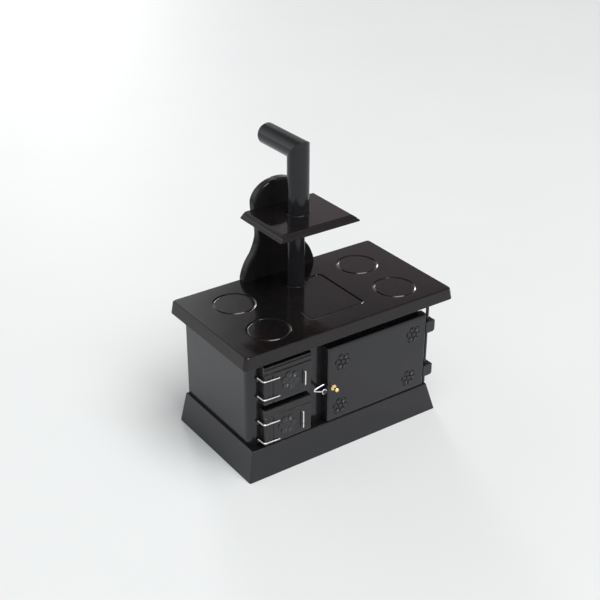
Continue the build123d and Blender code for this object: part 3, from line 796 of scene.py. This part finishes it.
def make_floor():
    """Plain pale card."""
    material, graph, mm = new_material("pale_card")
    fibre = graph.noise(mm, 0.5, 4.0)
    colour = graph.mix(graph.noise(mm, 0.01, 2.0), CARD_LIGHT, CARD_LIGHTER)
    graph.surface(Base_Color=colour, Roughness=0.55, Normal=graph.bump(fibre, 0.2, 0.02),
                  Specular_IOR_Level=0.3)
    bm = bmesh.new()
    bmesh.ops.create_grid(bm, x_segments=8, y_segments=8, size=FLOOR_SIZE / 2)
    floor = add_object("floor", mesh_from(bm, "floor", material))


def make_world():
    """Pale room: a light horizon that fades upwards, a bright wall back left, a light front, and
    a faint pink on the right."""
    world = bpy.data.worlds.new("pale_room")
    world.use_nodes = True
    bpy.context.scene.world = world
    graph = Graph(world.node_tree)
    toward = graph.add("ShaderNodeTexCoord").outputs["Generated"]
    right, back, up = (graph.along(toward, axis) for axis in "XYZ")
    low_band = graph.ramp(up, 0.22, 0.62, WORLD_HORIZON, WORLD_HIGH)
    azimuth = graph.math("ARCTAN2", right, back)
    left_wall = graph.ramp(azimuth, WALL_NONE_FROM, WALL_FULL_UNTIL, 0.0, WORLD_LEFT)
    left_wall = graph.math("MULTIPLY", left_wall, graph.ramp(up, 0.72, 0.5))
    left_wall = graph.math("MULTIPLY", left_wall, graph.ramp(back, 0.0, 0.4))
    front = graph.ramp(back, 0.2, -0.3, 0.0, WORLD_FRONT)
    level = graph.math("ADD", graph.math("ADD", low_band, front), left_wall)
    tint = graph.mix(graph.ramp(right, 0.42, 0.58), ROOM_WHITE, ROOM_PINK)
    shader = graph.add("ShaderNodeBackground", {"Color": tint, "Strength": level})
    graph.add("ShaderNodeOutputWorld", {"Surface": shader.outputs[0]})


def add_light(name, azimuth, elevation, distance, size, radiance, colour):
    """Soft rectangular light. Its azimuth is from the back (+Y) towards the right (+X), and both
    angles are in degrees."""
    a, e = math.radians(azimuth), math.radians(elevation)
    toward = Vector((math.sin(a) * math.cos(e), math.cos(a) * math.cos(e), math.sin(e)))
    data = bpy.data.lights.new(name, "AREA")
    data.shape = "RECTANGLE"
    data.size, data.size_y = size
    data.energy = radiance * math.pi * size[0] * size[1]
    data.color = colour
    light = add_object(name, data)
    light.location = toward * distance + LIGHT_AIM
    light.rotation_euler = toward.to_track_quat("Z", "Y").to_euler()


def make_camera():
    """Camera that looks down at the range from its front left."""
    a, e = CAMERA_AZIMUTH, CAMERA_ELEVATION
    back = Vector((math.sin(a) * math.cos(e), -math.cos(a) * math.cos(e), math.sin(e)))
    data = bpy.data.cameras.new("camera")
    data.sensor_width = CAMERA_SENSOR
    data.lens = CAMERA_LENS
    data.clip_start = CAMERA_CLIP_START
    camera = add_object("camera", data)
    camera.location = CAMERA_TARGET + back * CAMERA_DISTANCE
    turn = back.to_track_quat("Z", "Y") @ Quaternion((0, 0, 1), CAMERA_ROLL)
    camera.rotation_euler = turn.to_euler()
    bpy.context.scene.camera = camera


make_plinth()
make_hob_top()
make_backboard()
make_warming_shelf()
make_collar("lower_flue_collar", "lower_flue")
make_collar("upper_flue_collar", "upper_flue")
make_door("oven_door", oven_door_depth, OVEN_DOOR_FINE)
make_door("upper_fire_door", fire_door_depth(0.45), FIRE_DOOR_FINE)
make_door("lower_fire_door", fire_door_depth(0.2), FIRE_DOOR_FINE)
for corner in ("upper_left", "upper_right", "lower_left", "lower_right"):
    make_rosette("oven_rosette_" + corner, "oven_door", petals=6, turn=0.35, ground=0.0)
make_rosette("upper_door_rosette", "upper_fire_door", petals=6, turn=0.2, ground=0.34)
make_rosette("lower_door_rosette", "lower_fire_door", petals=6, turn=0.5, ground=0.30)
finish_cad_pieces()

make_floor()
make_world()
add_light("window", azimuth=20, elevation=15, distance=2.6, size=(0.5, 0.4), radiance=18.0,
          colour=(1.0, 1.0, 1.0))
add_light("ceiling_light", azimuth=168, elevation=64, distance=2.4, size=(1.5, 1.5), radiance=6.0,
          colour=(0.99, 1.0, 1.01))
make_camera()
bpy.context.scene.view_settings.view_transform = "Standard"
